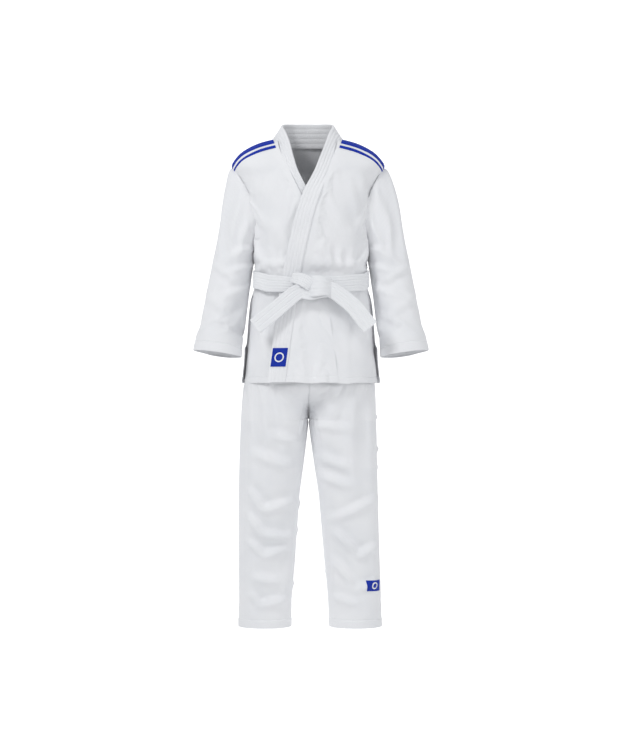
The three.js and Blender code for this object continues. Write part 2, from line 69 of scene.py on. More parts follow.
# ---- sizes, millimetres ----
CLOTH = 2.0  # the CAD panels' thickness
SHEET = 1.5  # thickness of the drawn cloth
BAND = 5.0  # the lapel band's thickness
BAND_WIDTH = 43.0
WRAP_LIFT = 3.5  # height of the wrap's upper layer over the lower one
HEM = low("back_panel")[2]
VENT_TOP = -170.0
WAIST = -6.0
UNDERARM = 84.0
ARMHOLE_TOP = 250.0
SHOULDER = 262.0
NECK = 322.0
PANEL_TOP = high("back_panel")[2]
CROSS = 216.0  # level where the two lapels' inner edges cross
COLLAR_TOP = high("collar_band")[2]
BELT_WIDTH = 40.0
BELT_DIP = 20.0
ARMHOLE_X = 160.0
ARMHOLE_Z = (UNDERARM + ARMHOLE_TOP) / 2
ARMHOLE_HALF = (ARMHOLE_TOP - UNDERARM) / 2
ARMHOLE_BULGE = 24.0  # degrees
SLEEVE_DROP = 354.0
SLEEVE_REACH = 63.0
CUFF_FORWARD = 30.0
CUFF_HEM = 26.0
CROTCH = low("left_front_hip_panel")[2]
LEG_END = low("left_leg_hem")[2]
LEG_HEM = high("left_leg_hem")[2] - LEG_END
BAND_TOP = high("waistband")[2]
BAND_LOW = low("waistband")[2]


# ---- helpers ----
def smooth(low_end, high_end, value):
    t = np.clip((value - low_end) / (high_end - low_end), 0, 1)
    return t * t * (3 - 2 * t)


def mix(a, b, t):
    return a + (b - a) * t


def power(value, exponent):
    return np.sign(value) * np.abs(value) ** exponent


def profile(stations):
    """A smooth curve through (position, value) stations in rising order of position."""
    x, y = np.array(stations, float).T
    slope = np.empty_like(x)
    slope[1:-1] = (y[2:] - y[:-2]) / (x[2:] - x[:-2])
    slope[0] = (y[1] - y[0]) / (x[1] - x[0])
    slope[-1] = (y[-1] - y[-2]) / (x[-1] - x[-2])

    def at(value):
        value = np.asarray(value, float)
        i = np.clip(np.searchsorted(x, value, side="right") - 1, 0, len(x) - 2)
        span = x[i + 1] - x[i]
        t = np.clip((value - x[i]) / span, 0, 1)
        rise = t * t * (3 - 2 * t)
        lead = t * (1 - t) ** 2 * span * slope[i]
        trail = t * t * (t - 1) * span * slope[i + 1]
        return y[i] + (y[i + 1] - y[i]) * rise + lead + trail

    return at


def cubic(p0, p1, p2, p3, t):
    """A smooth curve's point between p1 and p2, at a share t of the way."""
    square = (2 * p0 - 5 * p1 + 4 * p2 - p3) * t**2
    return 0.5 * (2 * p1 + (p2 - p0) * t + square + (3 * p1 - p0 - 3 * p2 + p3) * t**3)


def points(x, y, z):
    return np.stack(np.broadcast_arrays(x, y, z), axis=-1).astype(float)


def normals(grid, ring):
    """Unit normals of a grid of points, rows by columns."""
    if ring:
        du = np.roll(grid, -1, axis=1) - np.roll(grid, 1, axis=1)
    else:
        du = np.gradient(grid, axis=1)
    n = np.cross(du, np.gradient(grid, axis=0))
    return n / np.maximum(np.linalg.norm(n, axis=-1, keepdims=True), 1e-9)


def outward(grid, ring):
    """The grid's normals, turned away from the line through the middles of its rows."""
    n = normals(grid, ring)
    middle = grid.mean(axis=1, keepdims=True)
    if not ring:
        middle = middle * np.array([0, 0, 1])
    away = grid - middle
    return n if (n * away).sum() > 0 else -n


def raised(grid, height, ring=False):
    """The grid moved out along its normals by a height, a number or an array."""
    return grid + outward(grid, ring) * np.asarray(height)[..., None]


def refined(start, end, step, lines=(), near=(0.8, 1.8, 3.0)):
    """Positions from start to end about a step apart, closer together round each stitched line."""
    count = max(int(round(abs(end - start) / step)), 1)
    base = list(np.linspace(start, end, count + 1))
    for line in lines:
        base = [b for b in base if abs(b - line) > near[-1] + 0.4 or b in (start, end)]
        base += [line] + [line + s * d for d in near for s in (-1, 1)]
    inside = [b for b in base if min(start, end) <= b <= max(start, end)]
    return np.array(sorted(set(inside), reverse=end < start))


def groove(value, line, depth=0.7, width=1.0):
    return -depth * np.exp(-(((value - line) / width) ** 2))


# ---- meshes ----
def mesh_object(name, vertices, faces, uv=None):
    mesh = bpy.data.meshes.new(name)
    mesh.vertices.add(len(vertices))
    mesh.vertices.foreach_set("co", (np.asarray(vertices) / 1000).astype(np.float32).ravel())
    faces = np.asarray(faces)
    mesh.loops.add(faces.size)
    mesh.loops.foreach_set("vertex_index", faces.astype(np.int32).ravel())
    mesh.polygons.add(len(faces))
    mesh.polygons.foreach_set("loop_start", np.arange(0, faces.size, 4, dtype=np.int32))
    mesh.update(calc_edges=True)
    if uv is not None:
        layer = mesh.uv_layers.new(name="UVMap")
        layer.data.foreach_set("uv", np.asarray(uv, np.float32).ravel())
    mesh.shade_smooth()
    mesh.set_sharp_from_angle(angle=math.radians(55))
    mesh.validate()
    obj = bpy.data.objects.new(name, mesh)
    bpy.context.scene.collection.objects.link(obj)
    return obj


def arc_lengths(grid, ring):
    """How far along each column and row lie, in millimetres, on the grid's middle row and column."""
    row = grid[len(grid) // 2]
    if ring:
        row = np.vstack([row, row[:1]])
    across = np.concatenate([[0], np.cumsum(np.linalg.norm(np.diff(row, axis=0), axis=1))])
    column = grid[:, grid.shape[1] // 2]
    along = np.concatenate([[0], np.cumsum(np.linalg.norm(np.diff(column, axis=0), axis=1))])
    return across, along


def cloth_mesh(name, outer, thickness=SHEET, ring=False, inner=None):
    """A closed cloth piece: the outer grid, an inner one a thickness behind it, and the rims between."""
    if inner is None:
        inner = outer - outward(outer, ring) * thickness
    rows, columns = outer.shape[:2]
    count = rows * columns
    vertices = np.concatenate([outer.reshape(-1, 3), inner.reshape(-1, 3)])
    wide = columns if ring else columns - 1
    j, i = np.meshgrid(np.arange(rows - 1), np.arange(wide), indexing="ij")
    k = (i + 1) % columns
    a, b = j * columns + i, j * columns + k
    c, d = (j + 1) * columns + k, (j + 1) * columns + i
    front = np.stack([a, b, c, d], -1).reshape(-1, 4)
    rims = []
    rim_i = np.arange(wide)
    rim_k = (rim_i + 1) % columns
    first, last = rim_i, (rows - 1) * columns + rim_i
    first_next, last_next = rim_k, (rows - 1) * columns + rim_k
    rims.append(np.stack([first, first + count, first_next + count, first_next], -1))
    rims.append(np.stack([last, last_next, last_next + count, last + count], -1))
    if not ring:
        rim_j = np.arange(rows - 1)
        left, left_next = rim_j * columns, (rim_j + 1) * columns
        right, right_next = left + columns - 1, left_next + columns - 1
        rims.append(np.stack([left, left_next, left_next + count, left + count], -1))
        rims.append(np.stack([right, right + count, right_next + count, right_next], -1))
    faces = np.concatenate([front, front[:, ::-1] + count] + rims)
    across, along = arc_lengths(outer, ring)
    u0, u1 = across[i] / 1000, across[i + 1] / 1000
    v0, v1 = along[j] / 1000, along[j + 1] / 1000
    corners = [np.stack(corner, -1) for corner in ((u0, v0), (u1, v0), (u1, v1), (u0, v1))]
    quad_uv = np.stack(corners, 2).reshape(-1, 4, 2)
    rim_uv = np.zeros((len(faces) - 2 * len(front), 4, 2))
    uv = np.concatenate([quad_uv, quad_uv[:, ::-1], rim_uv])
    sample = front[len(front) // 2]
    edge_a = vertices[sample[1]] - vertices[sample[0]]
    edge_b = vertices[sample[3]] - vertices[sample[0]]
    out = vertices[sample[0]] - vertices[sample[0] + count]
    if np.dot(np.cross(edge_a, edge_b), out) < 0:
        faces, uv = faces[:, ::-1], uv[:, ::-1]
    return mesh_object(name, vertices, faces, uv)


def worn(obj, body, nodes):
    """Parents a cloth piece to one body's empty and hides the CAD nodes that it is drawn in place of."""
    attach(obj, body)
    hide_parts(*nodes)


def painted(obj, material):
    obj.data.materials.append(material)
    return obj


# ---- a short cloth simulation for wrinkles ----
def resampled(field, rows, columns, ring):
    """A coarse field of vectors read at dense fractional rows and columns with smooth curves."""

    def along(values, at, wrap):
        n = len(values)
        i = np.floor(at).astype(int)
        t = (at - i).reshape(-1, *([1] * (values.ndim - 1)))

        def pick(k):
            return values[k % n] if wrap else values[np.clip(k, 0, n - 1)]

        return cubic(pick(i - 1), pick(i), pick(i + 1), pick(i + 2), t)

    field = along(field, rows, False)
    return np.swapaxes(along(np.swapaxes(field, 0, 1), columns, ring), 0, 1)


def wrinkles(surface, rows, columns, pinned, grow, cap, ring=False, cells=(60, 60), frames=18):
    """How far a cloth simulation moves the surface(rows, columns), at the dense rows and columns.

    The cloth grows by a share while its pinned points hold, so it buckles into folds; no point moves
    more than the cap. pinned(rows, columns) is true where the cloth is held."""
    r = np.linspace(rows[0], rows[-1], cells[0])
    c = np.linspace(columns[0], columns[-1], cells[1] + 1 if ring else cells[1])[: cells[1]]
    rr, cc = np.meshgrid(r, c, indexing="ij")
    base = surface(rr, cc)
    wide = cells[1] if ring else cells[1] - 1
    j, i = np.meshgrid(np.arange(cells[0] - 1), np.arange(wide), indexing="ij")
    k = (i + 1) % cells[1]
    here, below = j * cells[1], (j + 1) * cells[1]
    faces = np.stack([here + i, here + k, below + k, below + i], -1)
    obj = mesh_object("simulated_cloth", base.reshape(-1, 3), faces.reshape(-1, 4))
    group = obj.vertex_groups.new(name="pinned")
    group.add(np.flatnonzero(pinned(rr, cc).ravel()).tolist(), 1.0, "REPLACE")
    modifier = obj.modifiers.new("Cloth", "CLOTH")
    settings = modifier.settings
    settings.quality = 5
    settings.mass = 0.25
    settings.tension_stiffness = 12
    settings.compression_stiffness = 12
    settings.shear_stiffness = 6
    settings.bending_stiffness = 1.5
    settings.air_damping = 2
    settings.vertex_group_mass = "pinned"
    settings.shrink_min = -grow
    settings.effector_weights.gravity = 0.6
    modifier.point_cache.frame_end = frames
    scene = bpy.context.scene
    for number in range(1, frames + 1):
        scene.frame_set(number)
    result = obj.evaluated_get(bpy.context.evaluated_depsgraph_get()).to_mesh()
    moved = np.empty(len(result.vertices) * 3, np.float32)
    result.vertices.foreach_get("co", moved)
    field = moved.reshape(base.shape).astype(float) * 1000 - base
    bpy.data.objects.remove(obj, do_unlink=True)
    scene.frame_set(1)
    length = np.linalg.norm(field, axis=-1, keepdims=True)
    field *= np.tanh(length / cap) * cap / np.maximum(length, 1e-6)
    at_rows = (rows - rows[0]) / (rows[-1] - rows[0]) * (cells[0] - 1)
    span = cells[1] if ring else cells[1] - 1
    at_columns = (columns - columns[0]) / (columns[-1] - columns[0]) * span
    if ring:
        at_columns = at_columns[:-1]
    return resampled(field, at_rows, at_columns, ring)


def creases(x, z, folds):
    """Height of listed folds: each (x0, z0, x1, z1, width, height) is a ridge with a dip beside it."""
    total = np.zeros(np.broadcast(x, z).shape)
    for x0, z0, x1, z1, width, height in folds:
        length = math.hypot(x1 - x0, z1 - z0)
        ux, uz = (x1 - x0) / length, (z1 - z0) / length
        along = ((x - x0) * ux + (z - z0) * uz) / length
        off = -(x - x0) * uz + (z - z0) * ux
        window = smooth(-0.25, 0.3, along) * (1 - smooth(0.7, 1.25, along))
        ridge = np.exp(-((off / width) ** 2)) - 0.6 * np.exp(-(((off - 1.7 * width) / (1.2 * width)) ** 2))
        total += height * ridge * window
    return total


# ---- the jacket's body surface, as in the CAD model ----
body_width = profile(
    [
        (HEM, 160), (VENT_TOP, 153), (-66, 144), (-26, 133), (WAIST, 131), (40, 133.5),
        (UNDERARM, 134), (128.5, 137), (182, 150.5), (226, 167), (SHOULDER, 181), (272, 177),
        (289, 163), (301, 146), (313, 117), (NECK, 80),
    ]
)
body_depth = profile(
    [
        (HEM, 116), (VENT_TOP, 112), (-66, 105), (WAIST, 96), (40, 103), (128.5, 108), (182, 102),
        (226, 93), (SHOULDER, 78), (301, 61), (NECK, 54),
    ]
)
SHIFT = -8.0


def body_shift(z):
    return SHIFT * smooth(UNDERARM, NECK, z)


def body(angle, z, flare=0.0):
    """A point of the jacket at an angle from the front (0) round to the wearer's left (90)."""
    turn = np.radians(angle)
    x = body_shift(z) + (body_width(z) + flare) * power(np.sin(turn), 2 / 2.4)
    y = -(body_depth(z) + flare) * power(np.cos(turn), 2 / 2.4)
    return points(x, y, z)


def angle_at(x, z):
    share = np.clip((x - body_shift(z)) / body_width(z), -1, 1)
    return np.degrees(np.arcsin(power(share, 1.2)))


def armhole_cut(z):
    share = (z - ARMHOLE_Z) / ARMHOLE_HALF
    return ARMHOLE_BULGE * np.sqrt(np.clip(1 - share * share, 0, 1))


lapel_x = profile([(HEM, -58), (WAIST, -24), (132, 5), (194.7, 26), (287.8, 62), (NECK, 70)])


def wrap_lift(z):
    return WRAP_LIFT * (1 - smooth(CROSS, CROSS + 40, z))


# ---- materials ----
def node_of(tree, kind, **inputs):
    node = tree.nodes.new(kind)
    for name, value in inputs.items():
        node.inputs[name.replace("_", " ")].default_value = value
    return node


def math_node(tree, operation, a, b=None):
    node = tree.nodes.new("ShaderNodeMath")
    node.operation = operation
    for socket, value in zip(node.inputs, (a, b)):
        if value is None:
            continue
        if isinstance(value, (int, float)):
            socket.default_value = value
        else:
            tree.links.new(value, socket)
    return node.outputs[0]


def tinted(tree, factor, first, second):
    """Makes the shader's base colour a mix of two, each an (r, g, b) or a socket."""
    tint = tree.nodes.new("ShaderNodeMix")
    tint.data_type = "RGBA"
    for socket, value in (("A", first), ("B", second)):
        if isinstance(value, tuple):
            tint.inputs[socket].default_value = (*value, 1)
        else:
            tree.links.new(value, tint.inputs[socket])
    tree.links.new(factor, tint.inputs["Factor"])
    tree.links.new(tint.outputs["Result"], tree.nodes["Principled BSDF"].inputs["Base Color"])


def fabric(name, colour, shade, weave, pitch, bump, roughness=0.88, sheen=0.35):
    """A cotton material: a woven bump of a pitch in metres over soft colour variation, with painted shade
    in the weave's hollows.

    weave is pearl (staggered grains), twill (diagonal ribs) or rib (lengthwise cords)."""
    material = bpy.data.materials.new(name)
    material.use_nodes = True
    tree = material.node_tree
    shader = tree.nodes["Principled BSDF"]
    shader.inputs["Roughness"].default_value = roughness
    shader.inputs["Sheen Weight"].default_value = sheen
    shader.inputs["Sheen Roughness"].default_value = 0.5
    shader.inputs["Specular IOR Level"].default_value = 0.25
    uv = tree.nodes.new("ShaderNodeUVMap")
    uv.uv_map = "UVMap"
    split = tree.nodes.new("ShaderNodeSeparateXYZ")
    tree.links.new(uv.outputs[0], split.inputs[0])
    u, v = split.outputs[0], split.outputs[1]
    if weave == "pearl":
        row = math_node(tree, "DIVIDE", v, pitch)
        stagger = math_node(tree, "MULTIPLY", math_node(tree, "FLOOR", row), 0.5)
        column = math_node(tree, "ADD", math_node(tree, "DIVIDE", u, pitch * 1.5), stagger)
        waves = [math_node(tree, "SINE", math_node(tree, "MULTIPLY", at, math.pi)) for at in (column, row)]
        height = math_node(tree, "MULTIPLY", *[math_node(tree, "ABSOLUTE", wave) for wave in waves])
    else:
        across = math_node(tree, "ADD", u, v) if weave == "twill" else u
        turns = math_node(tree, "MULTIPLY", across, 2 * math.pi / pitch)
        height = math_node(tree, "MULTIPLY", math_node(tree, "SINE", turns), 0.5)
    noise = node_of(tree, "ShaderNodeTexNoise", Scale=260.0, Detail=3.0)
    tree.links.new(uv.outputs[0], noise.inputs["Vector"])
    grain = math_node(tree, "MULTIPLY", noise.outputs["Fac"], 0.6)
    bumped = node_of(tree, "ShaderNodeBump", Strength=bump, Distance=0.0006)
    tree.links.new(math_node(tree, "ADD", height, grain), bumped.inputs["Height"])
    tree.links.new(bumped.outputs[0], shader.inputs["Normal"])
    cloud = node_of(tree, "ShaderNodeTexNoise", Scale=9.0, Detail=4.0)
    tree.links.new(uv.outputs[0], cloud.inputs["Vector"])
    spread = tree.nodes.new("ShaderNodeMapRange")
    spread.inputs["From Min"].default_value = 0.3
    spread.inputs["From Max"].default_value = 0.62
    # painted shade: the colour turns toward the shade tone in the weave's hollows and toward the base
    # colour on its crests
    weave_hollow_shade = math_node(tree, "MULTIPLY", height, 0.12)
    tree.links.new(math_node(tree, "ADD", cloud.outputs["Fac"], weave_hollow_shade), spread.inputs[0])
    tinted(tree, spread.outputs[0], shade, colour)
    return material


WHITE, WHITE_SHADE = (0.86, 0.865, 0.885), (0.81, 0.82, 0.845)
BLUE, BLUE_SHADE = (0.003, 0.03, 0.40), (0.002, 0.024, 0.33)
jacket_cloth = fabric("jacket_pearl_weave", WHITE, WHITE_SHADE, "pearl", 0.0022, 0.35)
band_cloth = fabric("lapel_twill", WHITE, WHITE_SHADE, "twill", 0.0016, 0.25)
drill_cloth = fabric("trouser_drill", WHITE, WHITE_SHADE, "twill", 0.0014, 0.2)
belt_cloth = fabric("belt_twill", (0.87, 0.88, 0.90), WHITE_SHADE, "twill", 0.0015, 0.25)
tape_cloth = fabric("blue_tape", BLUE, BLUE_SHADE, "rib", 0.0012, 0.3, roughness=0.7, sheen=0.03)


# ---- camera, lights and floor ----
def camera_and_lights():
    distance = 4.0
    middle_z = -0.2376
    middle_x = -0.0024
    frame_height = 1.8  # metres seen over the picture's longer side at the object
    camera = bpy.data.cameras.new("camera")
    camera.sensor_width = 36
    camera.lens = camera.sensor_width * distance / frame_height
    holder = bpy.data.objects.new("camera", camera)
    holder.location = (middle_x, -distance, middle_z)
    holder.rotation_euler = (math.radians(90), 0, 0)
    bpy.context.scene.collection.objects.link(holder)
    bpy.context.scene.camera = holder

    def area(name, place, aim, size, watts):
        light = bpy.data.lights.new(name, "AREA")
        light.shape = "DISK"
        light.size = size
        light.energy = watts
        lamp = bpy.data.objects.new(name, light)
        lamp.location = place
        lamp.rotation_euler = (Vector(aim) - Vector(place)).to_track_quat("-Z", "Y").to_euler()
        bpy.context.scene.collection.objects.link(lamp)

    area("key", (-2.2, -2.3, 2.6), (0, 0, -0.2), 1.1, 59)
    area("fill", (2.4, -2.2, 0.4), (0, 0, -0.3), 2.2, 18)
    world = bpy.data.worlds.new("studio")
    world.use_nodes = True
    background = world.node_tree.nodes["Background"]
    background.inputs["Color"].default_value = (0.97, 0.985, 1.0, 1)
    background.inputs["Strength"].default_value = 0.56
    bpy.context.scene.world = world
    bpy.context.scene.view_settings.view_transform = "Standard"


def floor():
    half = 14.0
    drop = 0.5  # the uniform hangs this high, as on an unseen stand
    level = LEG_END / 1000 - drop
    mesh = bpy.data.meshes.new("studio_floor")
    bend = 3.5
    rise = 9.0
    rows = [(-half, level), (bend, level)]
    for step in range(1, 9):
        turn = math.radians(90 * step / 8)
        rows.append((bend + math.sin(turn), level + 1 - math.cos(turn)))
    rows.append((bend + 1, level + rise))
    vertices = [(x, y, z) for y, z in rows for x in (-half, half)]
    faces = [(2 * i, 2 * i + 1, 2 * i + 3, 2 * i + 2) for i in range(len(rows) - 1)]
    mesh.from_pydata(vertices, [], faces)
    mesh.shade_smooth()
    obj = bpy.data.objects.new("studio_floor", mesh)
    bpy.context.scene.collection.objects.link(obj)
    material = bpy.data.materials.new("studio_white")
    material.use_nodes = True
    shader = material.node_tree.nodes["Principled BSDF"]
    shader.inputs["Base Color"].default_value = (0.93, 0.93, 0.93, 1)
    shader.inputs["Roughness"].default_value = 0.9
    shader.inputs["Emission Color"].default_value = (1, 1, 1, 1)
    tree = material.node_tree
    place = tree.nodes.new("ShaderNodeTexCoord")
    split = tree.nodes.new("ShaderNodeSeparateXYZ")
    tree.links.new(place.outputs["Object"], split.inputs[0])
    x, y, z = split.outputs

    def fade(value, start, end, low_value, high_value):
        node = tree.nodes.new("ShaderNodeMapRange")
        for socket, number in zip(node.inputs[1:5], (start, end, low_value, high_value)):
            socket.default_value = number
        tree.links.new(value, node.inputs[0])
        return node.outputs[0]

    # only the part behind the uniform glows, so that little of that light reaches the cloth
    behind = fade(y, 0.2, 0.85, 0.05, 0.6)
    middle = fade(math_node(tree, "ABSOLUTE", x), 2.0, 2.7, 1.0, 0.1)
    under = fade(z, 2.0, 2.7, 1.0, 0.1)
    glow = math_node(tree, "MULTIPLY", behind, math_node(tree, "MULTIPLY", middle, under))
    tree.links.new(glow, shader.inputs["Emission Strength"])
    obj.data.materials.append(material)


# ---- jacket panels ----
HEM_STITCH = HEM + 14
BODY_STEP = 4.5
CALM = (232, 258)  # between these levels the folds die out toward the shoulder


def hem_line(rows):
    """The stitched line of the hem and the doubled cloth below it."""
    return (groove(rows, HEM_STITCH) + 0.5 * (1 - smooth(HEM_STITCH - 2, HEM_STITCH, rows)))[:, None]


def back():
    rows = refined(HEM, NECK, BODY_STEP, [HEM_STITCH])
    columns = np.linspace(0, 1, 130)

    def surface(z, share):
        edge = 90 + armhole_cut(z)
        flare = 7 * (1 - smooth(HEM, VENT_TOP + 20, z))
        return body(mix(edge, 360 - edge, share), z, flare)

    def held(z, share):
        belt = abs(z - WAIST) < BELT_WIDTH / 2
        return belt | (z > PANEL_TOP - 12) | ((z > VENT_TOP) & (abs(share - 0.5) > 0.49))

    base = surface(rows[:, None], columns[None, :])
    height = CLOTH + hem_line(rows)
    seam = groove(base[..., 0], 0, 0.8, 1.6) * (rows[:, None] > HEM)
    moved = wrinkles(surface, rows, columns, held, 0.035, 8, cells=(72, 70))
    calm = 1 - smooth(*CALM, rows)[:, None]
    folds = back_folds(base[..., 0], rows[:, None]) * calm
    grid = raised(base, height + seam + folds) + moved * calm[..., None]
    obj = painted(cloth_mesh("jacket_back", grid), jacket_cloth)
    worn(obj, "jacket", ["back_panel"])


def back_folds(x, z):
    folds = [
        (-150, 190, -60, 60, 16, 4), (150, 190, 60, 60, 16, 4), (-60, 80, -40, 20, 9, 3),
        (50, 90, 35, 22, 9, 3), (-10, 60, -4, 20, 8, 2.5), (-70, -40, -110, -180, 14, 4),
        (60, -40, 105, -190, 14, 4), (0, -40, 10, -170, 16, 3),
    ]
    return creases(x, z, folds)


FRONT_FOLDS = {
    1: [
        (118, 235, 138, 120, 11, 5), (92, 225, 120, 110, 12, 3.5), (60, 150, 110, 60, 18, 3),
        (128, 60, 116, 18, 8, 4), (98, 66, 92, 20, 8, 4), (70, 58, 68, 18, 7, 3.5),
        (44, 70, 46, 16, 7, 3), (20, 60, 28, 12, 6, 2.5), (10, -62, 90, -130, 16, 5),
        (-10, -90, 70, -190, 18, 4.5), (40, -55, 130, -110, 13, 4.5), (90, -120, 140, -215, 15, 4),
        (10, -180, 60, -240, 14, 3),
    ],
    -1: [
        (-130, 235, -138, 120, 11, 5), (-104, 215, -122, 110, 12, 4),
        (-108, 140, -50, 60, 16, 3.5), (-126, 62, -112, 16, 9, 4), (-98, 60, -88, 16, 8, 4),
        (-72, 50, -66, 14, 7, 3), (-130, -60, -112, -180, 13, 4), (-100, -50, -104, -150, 10, 3),
    ],
}


SEAM_TUCK = 1.8  # degrees that a front runs on under the back at the shoulder and side seams


def front(side, word):
    rows = refined(HEM, NECK, BODY_STEP, [HEM_STITCH])
    columns = np.linspace(0, 1, 76)
    under_lapel = 6.0  # how far the panel runs on under the lapel band

    def surface(z, share):
        lap = SEAM_TUCK * smooth(VENT_TOP, VENT_TOP + 4, z)
        edge = side * (90 - armhole_cut(z) + lap)
        x = lapel_x(z) if side > 0 else 2 * body_shift(z) - lapel_x(z)
        return body(mix(edge, angle_at(x - side * under_lapel, z), share), z)

    def held(z, share):
        belt = abs(z - (WAIST - BELT_DIP * share)) < BELT_WIDTH / 2
        return belt | (z > PANEL_TOP - 12) | (share > 0.93) | ((z > VENT_TOP) & (share < 0.02))

    base = surface(rows[:, None], columns[None, :])
    lift = wrap_lift(rows)[:, None] * smooth(0, 0.35, columns)[None, :] if side > 0 else 0
    hem = hem_line(rows)
    folds = creases(base[..., 0], rows[:, None], FRONT_FOLDS[side])
    folds *= 1 - smooth(0.8, 1.0, columns)[None, :]
    moved = wrinkles(surface, rows, columns, held, 0.028, 6, cells=(72, 44))
    calm = 1 - smooth(*CALM, rows)[:, None]
    tuck = -1.1 * (1 - smooth(0.005, 0.035, columns)) * smooth(VENT_TOP, VENT_TOP + 4, rows)[:, None]
    grid = raised(base, CLOTH + lift + hem + tuck + folds * calm) + moved * calm[..., None]
    obj = painted(cloth_mesh(word + "_front", grid), jacket_cloth)
    worn(obj, "jacket", [word + "_front_panel"])


# ---- lapel band: one strip up one front, round the neck and down the other ----
def band_sections(side):
    """Outer and inner edge points of one half of the band, from the hem to the nape."""
    levels = np.array([HEM, -200, -142, -90, -45, WAIST, 43, 86, 132, 163, 194])
    x = lapel_x(levels)
    if side < 0:
        x = 2 * body_shift(levels) - x - 8 * smooth(120, 175, levels)
    outer = list(body(angle_at(x, levels), levels))
    lean = np.arctan((lapel_x(levels + 1) - lapel_x(levels - 1)) / 2)
    inner_x = x - side * BAND_WIDTH * np.cos(lean)
    inner_z = levels + BAND_WIDTH * np.sin(lean) * 0.35 * smooth(40, 194, levels)
    inner = list(body(angle_at(inner_x, inner_z), inner_z))

    def place(dx, y, z):
        return np.array([SHIFT + side * dx, y, z])

    outer += [place(51, -82, 236), place(63, -66, 270), place(73, -46, 298), place(82, -22, 315)]
    under = 7 if side < 0 else 0  # the under lapel's edge opens a little more than the upper one's
    inner[-1] = inner[-1] - np.array([under, 0, 0])
    inner += [place(14 + under, -90, 240), place(28 + 0.6 * under, -77, 276)]
    inner += [place(40, -58, 308), place(50, -33, 338)]
    outer += [place(85, 2, 317), place(73, 30, 314), place(41, 48, 312), place(0, 53, 312)]
    inner += [place(58, -6, 357), place(52, 22, 366), place(30, 42, 370), place(0, 49, COLLAR_TOP - 1)]
    return np.array(outer), np.array(inner)


def curve_through(stations, count):
    """Evenly spaced points on a smooth curve through the stations."""
    n = len(stations)
    padded = np.vstack([2 * stations[0] - stations[1], stations, 2 * stations[-1] - stations[-2]])
    at = np.linspace(0, n - 1 - 1e-9, count)
    i = np.floor(at).astype(int)
    t = (at - i)[:, None]
    return cubic(padded[i], padded[i + 1], padded[i + 2], padded[i + 3], t)


def channels(share, count, width):
    """Height of a quilted strip across its width: soft ridges between rows of stitching, round edges."""
    ridges = np.abs(np.sin(np.pi * share * count)) ** 0.6
    edge = np.minimum(share, 1 - share) * width
    return 0.9 * ridges + np.sqrt(np.clip(edge / 3.0, 0, 1)) * 0.6 - 0.9


def lapel_band():
    count = 190
    halves = {}
    for side in (1, -1):
        outer, inner = band_sections(side)
        halves[side] = (curve_through(outer, count), curve_through(inner, count))
    outer = np.vstack([halves[-1][0], halves[1][0][::-1][1:]])
    inner = np.vstack([halves[-1][1], halves[1][1][::-1][1:]])
    share = np.linspace(0, 1, 36)
    base = outer[:, None] + (inner - outer)[:, None] * share[None, :, None]
    total = len(base)
    n = normals(base, False)
    if n[:, :, 1][: total // 3].mean() > 0:
        n = -n
    z = outer[:, 2]
    upper = np.arange(total) >= count
    lift = np.where(upper, WRAP_LIFT, -6.5) * (1 - smooth(CROSS - 30, CROSS + 50, z))
    quilt = channels(share, 5, BAND_WIDTH)[None, :]
    top = base + n * (lift[:, None] + BAND + quilt)[..., None]
    bottom = base + n * (lift[:, None] - 0.8 * quilt)[..., None]
    obj = painted(cloth_mesh("lapel_band", top, inner=bottom), band_cloth)
    worn(obj, "jacket", ["left_lapel", "right_lapel", "collar_band"])
    return base, n


def tapes():
    """Two tapes of unequal width beside each shoulder's ridge, from the collar to the sleeve."""
    levels = np.linspace(SHOULDER, NECK, 200)
    reach = np.linspace(body_width(SHOULDER), body_width(NECK) + 3, 60)
    crest = np.interp(reach, body_width(levels)[::-1], levels[::-1])
    ridge = np.concatenate([np.linspace(ARMHOLE_TOP + 6, SHOULDER, 6)[:-1], crest])
    for side, word in ((1, "left"), (-1, "right")):
        for kind, first, last in (("wide", 1.0, 12.5), ("narrow", 18.0, 24.0)):
            drop = np.linspace(first, last, 12)[None, :] * (0.75 + 0.25 * smooth(260, 318, ridge))[:, None]
            z = ridge[:, None] - drop
            inward = 0.35 * drop
            x = body_shift(ridge)[:, None] + side * (body_width(ridge)[:, None] - inward)
            base = body(angle_at(x, z), z)
            from_edge = np.minimum(np.arange(12), np.arange(12)[::-1])
            edges = 1.1 * np.clip(1 - from_edge, 0, 1)
            extra = (0.7 + 1.5 * smooth(298, 318, ridge))[:, None] - edges[None, :]
            grid = shoulder_height(base, extra[..., None])
            name = f"{word}_shoulder_tape_{kind}"
            obj = painted(cloth_mesh(name + "_sewn", grid, 0.7), tape_cloth)
            worn(obj, "jacket", [name])


def shoulder_height(base, extra):
    """Points of the body raised to the cloth's outside and a little more."""
    x, _, z = np.moveaxis(base, -1, 0)
    out = points((x - body_shift(z)) / body_width(z) ** 2, base[..., 1] / body_depth(z) ** 2, 0 * z)
    up = -(body_width(z + 2) - body_width(z - 2)) / 4
    out[..., 2] = np.linalg.norm(out[..., :2], axis=-1) * np.clip(up, 0, 4)
    out /= np.linalg.norm(out, axis=-1, keepdims=True)
    return base + out * (CLOTH + extra)


# ---- sleeves ----
sleeve_tilt = profile([(0, 76), (0.1, 62), (0.2, 42), (0.3, 24), (0.4, 14), (0.5, 10.6), (1, 8)])
sleeve_out = profile([(0, 0), (0.1, 0.23), (0.2, 0.33), (0.3, 0.42), (0.4, 0.53), (0.6, 0.71), (1, 1)])
sleeve_half = profile([(0, 83), (0.1, 72), (0.2, 54), (0.3, 48), (0.6, 49), (1, 56)])
sleeve_depth = profile([(0, 50), (0.5, 50), (1, 52)])
sleeve_forward = profile([(0, 0), (0.45, 0), (1, CUFF_FORWARD)])
ARMHOLE_FOLD = 68.0
SEAM_LAP = 7.0  # how far the sleeve's crown laps up over the shoulder
CROWN = 46.0  # how strongly the sleeve's crown rounds outward
SLEEVE_SPLIT = 92.0  # drop where the upper and the lower sleeve piece meet


